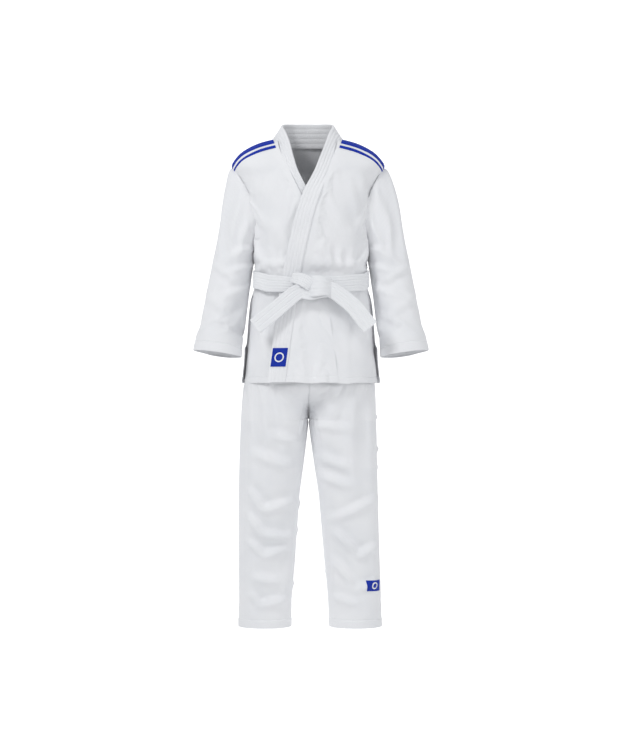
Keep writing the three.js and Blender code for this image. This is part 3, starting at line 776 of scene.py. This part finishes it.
def sleeve(side, turn_degrees, drop):
    """A point of a sleeve: 0 degrees is its outer edge, 90 its front."""
    share = drop / SLEEVE_DROP
    turn = np.radians(turn_degrees)
    tilt = np.radians(sleeve_tilt(share))
    half = sleeve_half(share) * np.cos(turn)
    lean = np.arctan((sleeve_forward(share + 0.01) - sleeve_forward(share - 0.01)) / (0.02 * SLEEVE_DROP))
    ahead = sleeve_depth(share) * np.sin(turn)
    x = side * (ARMHOLE_X + sleeve_out(share) * SLEEVE_REACH + half * np.cos(tilt))
    z = ARMHOLE_Z - drop + half * np.sin(tilt) + ahead * np.sin(lean)
    section = points(x, -sleeve_forward(share) - ahead, z)
    crown = np.clip(np.cos(turn), 0, 1)
    seam_z = ARMHOLE_Z + ARMHOLE_HALF * np.cos(turn) + SEAM_LAP * crown**3
    seam = body(side * (90 - ARMHOLE_BULGE * np.sin(turn)), seam_z)
    t = np.clip(drop / ARMHOLE_FOLD, 0, 1)[..., None] * np.ones(seam.shape)
    blend = t * t * (3 - 2 * t)
    reach = np.linalg.norm(section - seam, axis=-1, keepdims=True)
    way = points(side * 0.5, 0, -0.75) * np.ones(seam.shape)
    rounding = points(side * CROWN * crown, 0, 0) * np.ones(seam.shape)
    bulge = t * (1 - t) ** 2
    return mix(seam, section, blend) + way * reach * 0.75 * bulge + rounding * bulge


SLEEVE_FOLDS = [
    (60, 10, 75, 120, 9, 4), (100, 20, 95, 110, 8, 3.5), (20, 30, 40, 140, 10, 3),
    (140, 60, 60, 140, 9, 4), (150, 120, 70, 170, 8, 4), (30, 150, 120, 190, 8, 3.5),
    (150, 180, 60, 235, 9, 4), (20, 220, 110, 270, 10, 3), (140, 250, 60, 300, 10, 2.5),
]


sleeve_fields = {}  # each side's wrinkles, worked out once


def sleeve_piece(side, word, part, start, end):
    lines = [SLEEVE_DROP - CUFF_HEM + 8] if end == SLEEVE_DROP else []
    rows = refined(start, end, 4.0, lines)
    columns = np.linspace(0, 360, 97)

    def surface(drop, turn):
        return sleeve(side, turn, drop)

    all_rows = np.linspace(0, SLEEVE_DROP, 120)
    field = sleeve_wrinkles(side, all_rows, columns, surface)
    base = surface(rows[:, None], columns[None, :-1])
    turn = np.where(columns[:-1] <= 180, columns[:-1], 360 - columns[:-1])
    ahead = np.where(columns[:-1] <= 180, 1.0, -0.8)
    folds = creases(turn[None, :] * 0.9, rows[:, None], SLEEVE_FOLDS) * ahead[None, :]
    folds = folds * smooth(0, 25, rows)[:, None]
    height = CLOTH + folds
    for line in lines:
        height = height + (groove(rows, line) + 0.8 * smooth(line, line + 2, rows))[:, None]
    seam = groove(rows, 3.0, 0.9, 2.2)[:, None]
    grid = raised(base, height + seam, ring=True)
    at = rows / SLEEVE_DROP * (len(all_rows) - 1)
    grid = grid + resampled(field, at, np.arange(len(columns) - 1.0), True)
    obj = painted(cloth_mesh(f"{word}_{part}", grid, ring=True), jacket_cloth)
    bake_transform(obj)
    return obj


def sleeve_wrinkles(side, rows, columns, surface):
    if side not in sleeve_fields:

        def held(drop, turn):
            return (drop < 8) | (drop > SLEEVE_DROP - CUFF_HEM)

        moved = wrinkles(surface, rows, columns, held, 0.035, 6, ring=True, cells=(56, 48))
        calm = smooth(0, 50, rows) * (1 - smooth(SLEEVE_DROP - 70, SLEEVE_DROP - CUFF_HEM, rows))
        sleeve_fields[side] = moved * calm[:, None, None]
    return sleeve_fields[side]


def sleeves():
    for side, word in ((1, "left"), (-1, "right")):
        upper = sleeve_piece(side, word, "sleeve_top", 0, SLEEVE_SPLIT)
        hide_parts(word + "_armhole_fold", word + "_upper_sleeve")
        lower = sleeve_piece(side, word, "sleeve_end", SLEEVE_SPLIT, SLEEVE_DROP)
        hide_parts(word + "_elbow_fold", word + "_lower_sleeve", word + "_cuff_hem")


# ---- belt ----
def belt_middle(angle):
    return WAIST - BELT_DIP * np.clip(np.cos(np.radians(angle)), 0, None)


def belt_rest(angle):
    round_angle = np.abs((angle + 180) % 360 - 180)
    return mix(CLOTH, WRAP_LIFT + BAND, 1 - smooth(50, 92, round_angle)) + 1.5


def belt_wrap():
    angle = np.linspace(0, 360, 241)[:-1]
    share = np.linspace(0, 1, 40)
    round_angle = np.abs((angle + 180) % 360 - 180)
    pinch = 1 - 0.16 * (1 - smooth(8, 34, round_angle))
    wave = 1.2 * np.sin(np.radians(angle * 5 + 40)) + 0.8 * np.sin(np.radians(angle * 11))
    z = belt_middle(angle)[None, :] + (share[:, None] - 0.5) * BELT_WIDTH * pinch[None, :] + wave[None, :]
    base = body(angle[None, :], np.clip(z, -46, 20))
    base[..., 2] = z
    height = belt_rest(angle)[None, :] + 2.6 + channels(share, 6, BELT_WIDTH)[:, None]
    bend = 1.2 * np.sin(np.pi * share)[:, None]
    n = outward(base, True)
    n[..., 2] = 0
    n /= np.linalg.norm(n, axis=-1, keepdims=True)
    top = base + n * (height + bend)[..., None]
    obj = painted(cloth_mesh("belt_wrap", top, 4.4, ring=True), belt_cloth)
    worn(obj, "jacket", ["belt_inner_wrap", "belt_outer_wrap"])


def strap(name, route, widths, thickness=4.6, facing=(0, -1, 0), count=60, rows=5):
    """A flat stitched strap along a smooth route of (x, y, z) points, with its width at each."""
    path = curve_through(np.array(route, float), count)
    width = curve_through(np.array([[w, 0, 0] for w in widths], float), count)[:, 0]
    along = np.gradient(path, axis=0)
    along /= np.linalg.norm(along, axis=1, keepdims=True)
    across = np.cross(along, np.array(facing, float))
    across /= np.linalg.norm(across, axis=1, keepdims=True)
    out = np.cross(across, along)
    if (out * np.array(facing)).sum() < 0:
        out = -out
    share = np.linspace(0, 1, 34)
    side = (share - 0.5)[None, :, None] * (across * width[:, None])[:, None, :]
    base = path[:, None, :] + side
    quilt = channels(share, rows + 1, BELT_WIDTH)[None, :, None]
    ends = np.linspace(0, 1, count)
    soft = np.sqrt(np.clip(np.minimum(ends, 1 - ends) * count / 2.0, 0, 1))[:, None, None]
    top = base + out[:, None, :] * (thickness / 2 + quilt * soft)
    bottom = base - out[:, None, :] * (thickness / 2 + quilt * 0.5 * soft)
    obj = painted(cloth_mesh(name, top, inner=bottom), belt_cloth)
    return obj


def belt_knot():
    """A flat square knot: the wide turn on the wearer's left, the small loop on the right, ends behind."""
    cover = strap(
        "belt_knot_cover",
        [(-1, -116, -33), (1, -130, -32), (10, -139, -31), (22, -141, -31)]
        + [(34, -137, -32), (44, -126, -34), (47, -114, -36)],
        [40, 47, 49, 47, 43, 40, 36],
        facing=(0, -1, 0.12),
    )
    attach(cover, "jacket")
    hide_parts("belt_knot")
    loop = strap(
        "belt_knot_loop",
        [(-44, -112, -11), (-36, -122, -12), (-24, -131, -15)]
        + [(-12, -135, -21), (-2, -133, -30), (4, -124, -38)],
        [22, 26, 29, 30, 26, 18],
        facing=(-0.1, -1, 0.1),
    )
    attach(loop, "jacket")
    under = strap(
        "belt_knot_under",
        [(-34, -119, -38), (-18, -126, -44), (0, -129, -48)]
        + [(20, -128, -44), (44, -126, -40), (60, -119, -42)],
        [32, 32, 30, 30, 33, 32],
    )
    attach(under, "jacket")


def belt_tails():
    plane = (high("left_belt_tail")[1] + low("left_belt_tail")[1]) / 2
    bow = (1, 0, -1, -0.5, 0)  # how far each point stands behind the plane
    left = [(26, -33), (52, -42), (80, -62), (104, -84), (138, -127)]
    right = [(-8, -34), (-38, -49), (-68, -74), (-98, -99), (-130, -125)]
    for word, flat_route in (("left", left), ("right", right)):
        route = [(x, plane + behind, z) for (x, z), behind in zip(flat_route, bow)]
        obj = strap(word + "_tail_strap", route, [34, 37, 38, 39, 39], count=80)
        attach(obj, word + "_tail")
        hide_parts(word + "_belt_tail")


# ---- trousers ----
leg_outer = profile([(LEG_END, 170), (-700, 168), (-540, 166), (-391, 162), (CROTCH, 160)])
leg_inner = profile(
    [(LEG_END, 47), (-721, 44), (-640, 39.5), (-577, 35.5), (-515, 31)]
    + [(-450, 22), (-391, 13.5), (-360, 8), (CROTCH, 3)]
)
leg_depth = profile([(LEG_END, 56), (-700, 57.5), (-565, 62), (-450, 71), (CROTCH, 84)])
leg_centre = profile([(LEG_END, -2), (CROTCH, -6)])
hip_width = profile([(CROTCH, 160), (HEM, 153.9), (-150, 138), (BAND_LOW, 116), (BAND_TOP, 116)])
hip_depth = profile([(CROTCH, 95), (-150, 97), (BAND_LOW, 82), (BAND_TOP, 82)])
LEG_SPLIT = -450.0
LEG_TAPER = 0.0014  # how fast the legs' depth grows upward at the crotch, a share per millimetre


def leg(side, turn_degrees, z):
    """A point of a leg: 0 degrees is its outer edge, 90 its front."""
    turn = np.radians(turn_degrees)
    outer, inner = leg_outer(z), leg_inner(z)
    x = (outer + inner) / 2 + (outer - inner) / 2 * power(np.cos(turn), 2 / 2.3)
    y = -leg_depth(z) * power(np.sin(turn), 2 / 2.3)
    return points(leg_centre(z) + side * x, y, z)


def hips(side, turn_degrees, z):
    """A point of the hips on one side: 180 degrees is the middle of the front, -180 of the back."""
    angle = side * (180 - np.asarray(turn_degrees)) / 2
    turn = np.radians(angle)
    shift = leg_centre(CROTCH) * (1 - smooth(CROTCH, -150, z))
    x = hip_width(z) * power(np.sin(turn), 2 / 2.4)
    y = -hip_depth(z) * power(np.cos(turn), 2 / 2.4)
    round_hips = points(x + shift, y, z)
    legs = leg(side, turn_degrees, np.minimum(z, CROTCH) + 0 * np.asarray(turn_degrees))
    legs[..., 1] *= 1 + LEG_TAPER * np.clip(z - CROTCH, 0, None)
    legs[..., 2] = z + 0 * legs[..., 2]
    drawn = 1 - smooth(CROTCH, HEM - 5, z)
    return mix(round_hips, legs, (drawn * np.ones(legs.shape[:-1]))[..., None])


LEG_FOLDS = {
    -1: [
        (-100, -372, -32, -392, 10, 5), (-140, -415, -55, -450, 12, 6),
        (-152, -498, -112, -552, 9, 6), (-118, -552, -50, -530, 10, 6),
        (-154, -556, -118, -606, 9, 6.5), (-122, -606, -58, -618, 11, 7),
        (-152, -620, -116, -658, 8, 5.5), (-114, -660, -60, -640, 10, 6),
        (-138, -712, -84, -724, 12, 6.5), (-146, -750, -122, -780, 8, 5),
        (-124, -784, -62, -770, 10, 6),
    ],
    1: [
        (14, -352, 86, -360, 9, 5), (24, -424, 82, -448, 11, 6), (34, -470, 92, -494, 11, 6.5),
        (58, -572, 148, -528, 10, 6), (62, -602, 118, -660, 9, 7), (114, -664, 152, -634, 9, 5.5),
        (58, -668, 98, -724, 9, 6), (56, -760, 108, -780, 10, 6), (110, -745, 154, -722, 9, 4),
    ],
}


TROUSER_TOP = HEM - 2  # where the drawn folds start, hidden under the jacket's hem
FIELD_ROWS = 150
LEG_COLUMNS = 108
leg_fields = {}  # each side's wrinkles, worked out once


def trouser(side, turn, z):
    """A point of one side of the trousers, hips above the crotch and leg below it."""
    turn, z = np.broadcast_arrays(np.asarray(turn, float), np.asarray(z, float))
    above = hips(side, (turn + 180) % 360 - 180, np.maximum(z, CROTCH))
    return np.where((z > CROTCH)[..., None], above, leg(side, turn, np.minimum(z, CROTCH)))


def trouser_field(side):
    """Wrinkles of one side of the trousers: how far each point moves, row by row from the trousers' top to
    the legs' ends.
    """
    rows = np.linspace(TROUSER_TOP, LEG_END, FIELD_ROWS)
    columns = np.linspace(0, 360, LEG_COLUMNS + 1)
    if side not in leg_fields:

        def held(z, turn):
            middle = (z > CROTCH - 8) & (abs(turn - 180) < 14)
            return (z > TROUSER_TOP - 4) | (z < LEG_END + LEG_HEM) | middle

        def surface(z, turn):
            return trouser(side, turn, z)

        moved = wrinkles(surface, rows, columns, held, 0.06, 9, ring=True, cells=(76, 54), frames=24)
        calm = smooth(LEG_END + 8, LEG_END + 170, rows)
        leg_fields[side] = moved * calm[:, None, None]
    return leg_fields[side]


def field_at(side, z, turn):
    """The wrinkles read at rows z, from high to low, and columns turn in degrees."""
    rows = np.clip((z - TROUSER_TOP) / (LEG_END - TROUSER_TOP), 0, 1) * (FIELD_ROWS - 1)
    return resampled(trouser_field(side), rows, (np.asarray(turn) % 360) / 360 * LEG_COLUMNS, True)


def leg_folds(grid, side):
    """Folds of a leg seen from the front; the back has the same ones, higher up and mirrored."""
    x, y, z = np.moveaxis(grid, -1, 0)
    ahead = creases(x, z, LEG_FOLDS[side])
    behind = creases(side * 2 * 96 - x, z - 22, LEG_FOLDS[side])
    return 1.35 * np.where(y < 0, ahead, behind) * smooth(0, 22, np.abs(y))


def leg_piece(side, word, part, start, end):
    stitch = LEG_END + 20
    lines = [stitch] if end <= LEG_END + 1 else []
    rows = refined(start, end, 4.5, lines)
    columns = np.linspace(0, 360, LEG_COLUMNS + 1)

    def surface(z, turn):
        return leg(side, turn, z)

    base = surface(rows[:, None], columns[None, :-1])
    height = CLOTH + leg_folds(base, side)
    for line in lines:
        height = height + (groove(rows, line) + 0.9 * (1 - smooth(line - 2, line, rows)))[:, None]
    grid = raised(base, height, ring=True) + field_at(side, rows, columns[:-1])
    obj = painted(cloth_mesh(f"{word}_{part}", grid, ring=True), drill_cloth)
    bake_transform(obj)
    return obj


def trousers():
    for side, word in ((1, "left"), (-1, "right")):
        rows = refined(CROTCH, BAND_LOW - 2, 5.0)
        columns = np.linspace(179.9, -179.9, 120)
        base = hips(side, columns[None, :], rows[:, None])
        fade = 1 - smooth(TROUSER_TOP, TROUSER_TOP + 20, rows)
        height = CLOTH + leg_folds(base, side) * fade[:, None]
        moved = field_at(side, rows, columns) * fade[:, None, None]
        grid = raised(base, height) + moved
        obj = painted(cloth_mesh("hips_" + word, grid), drill_cloth)
        panels = [f"{word}_{face}_hip_panel" for face in ("front", "back")]
        worn(obj, "trousers", panels)
        top = leg_piece(side, word, "leg_top", CROTCH, LEG_SPLIT)
        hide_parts(word + "_hip_fold", word + "_thigh_front_panel", word + "_thigh_back_panel")
        end = leg_piece(side, word, "leg_end", LEG_SPLIT, LEG_END)
        shins = [f"{word}_shin_{face}_panel" for face in ("front", "back")]
        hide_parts(word + "_knee_fold", *shins, word + "_leg_hem")


def waistband():
    angle = np.linspace(0, 2 * math.pi, 181)[:-1]
    share = np.linspace(0, 1, 26)
    ruffle = 1.2 * np.sin(angle * 46) * 0.8  # the elastic gathers the cloth
    x = (118 + ruffle) * np.sin(angle)
    y = -(84 + ruffle) * np.cos(angle)
    z = mix(BAND_LOW, BAND_TOP, share)
    base = points(x[None, :], y[None, :], z[:, None])
    bulge = 1.2 + 1.6 * np.sin(np.pi * share) + channels(share, 3, 42) * 0.6
    grid = raised(base, bulge[:, None] * np.ones((1, 180)), ring=True)
    obj = painted(cloth_mesh("waistband_cloth", grid, 3.0, ring=True), drill_cloth)
    nodes = ["waistband", "waist_elastic"]
    worn(obj, "trousers", nodes)


def gusset():
    """The narrow strip down the middle of the front, under the crotch and up the back."""
    centre = leg_centre(CROTCH)
    front_z = np.linspace(HEM + 30, CROTCH + 4, 8)
    front = [(centre, float(hips(1, 179.9, z)[1]) - 0.5, float(z)) for z in front_z]
    back = [(centre, -y, z) for _, y, z in front[::-1]]
    route = front + [(centre, -6, CROTCH - 1), (centre, 6, CROTCH - 1)] + back
    path = curve_through(np.array(route, float), 90)
    share = np.linspace(-1, 1, 9)
    half = np.interp(path[:, 2], [CROTCH, CROTCH + 60], [5, 8])
    base = path[:, None, :] + points(share[None, :] * half[:, None], 0, 0)
    obj = painted(cloth_mesh("gusset_strip", base, 1.2), drill_cloth)
    worn(obj, "trousers", ["crotch_gusset"])


# ---- labels ----
def label_material(name, size):
    """Blue woven cloth with a plain white ring, in a label of (width, height) metres."""
    material = fabric(name, BLUE, BLUE_SHADE, "rib", 0.001, 0.25, roughness=0.6, sheen=0.03)
    tree = material.node_tree
    shader = tree.nodes["Principled BSDF"]
    uv = next(n for n in tree.nodes if n.type == "UVMAP")
    split = tree.nodes.new("ShaderNodeSeparateXYZ")
    tree.links.new(uv.outputs[0], split.inputs[0])
    du = math_node(tree, "SUBTRACT", split.outputs[0], size[0] / 2)
    dv = math_node(tree, "SUBTRACT", split.outputs[1], size[1] / 2)
    square = math_node(tree, "ADD", math_node(tree, "POWER", du, 2.0), math_node(tree, "POWER", dv, 2.0))
    radius = math_node(tree, "SQRT", square)
    ring = min(size) * 0.27
    half_line = 0.0016  # half the ring's own width, metres
    off = math_node(tree, "ABSOLUTE", math_node(tree, "SUBTRACT", radius, ring))
    base = shader.inputs["Base Color"].links[0].from_socket
    tinted(tree, math_node(tree, "LESS_THAN", off, half_line), base, (0.8, 0.81, 0.83))
    return material


def label(name, grid, **form):
    across, along = arc_lengths(grid, False)
    material = label_material(name + "_cloth", (across[-1] / 1000, along[-1] / 1000))
    return painted(cloth_mesh(name, grid, **form), material)


def lapel_label(base, n):
    """A patch on the upper lapel near the hem. base and n are the band's grid and normals."""
    outer = base[:, 0]
    half = len(base) // 2
    bottom, top = low("lapel_label")[2] + 1, high("lapel_label")[2] - 1
    rows = [k for k in range(half, len(base)) if bottom <= outer[k, 2] <= top]
    patch = base[rows][:, 3:-3]
    out = n[rows][:, 3:-3]
    grid = patch + out * (WRAP_LIFT + BAND + 1.3)
    obj = label("lapel_patch", grid, inner=grid - out * 1.1)
    worn(obj, "jacket", ["lapel_label"])


def leg_label():
    z = np.linspace(high("trouser_label")[2], low("trouser_label")[2], 14)
    turn = np.linspace(25, 66, 22)
    base = leg(1, turn[None, :], z[:, None])
    height = CLOTH + 1.2 + leg_folds(base, 1)
    grid = raised(base, height)
    grid = grid + field_at(1, z, turn)
    obj = label("leg_patch", grid, thickness=1.0)
    worn(obj, "left_shin", ["trouser_label"])


def eyelets():
    material = bpy.data.materials.new("eyelet_metal")
    material.use_nodes = True
    shader = material.node_tree.nodes["Principled BSDF"]
    shader.inputs["Metallic"].default_value = 1.0
    shader.inputs["Roughness"].default_value = 0.35
    noise = node_of(material.node_tree, "ShaderNodeTexNoise", Scale=400.0)
    tinted(material.node_tree, noise.outputs["Fac"], (0.6, 0.6, 0.62), (0.75, 0.75, 0.77))
    for word in ("left", "right"):
        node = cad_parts[word + "_drawcord_eyelet"]
        node.data.materials.clear()
        node.data.materials.append(material)


camera_and_lights()
floor()
back()
front(1, "left")
front(-1, "right")
band_base, band_normals = lapel_band()
tapes()
sleeves()
belt_wrap()
belt_knot()
belt_tails()
trousers()
waistband()
gusset()
lapel_label(band_base, band_normals)
leg_label()
eyelets()
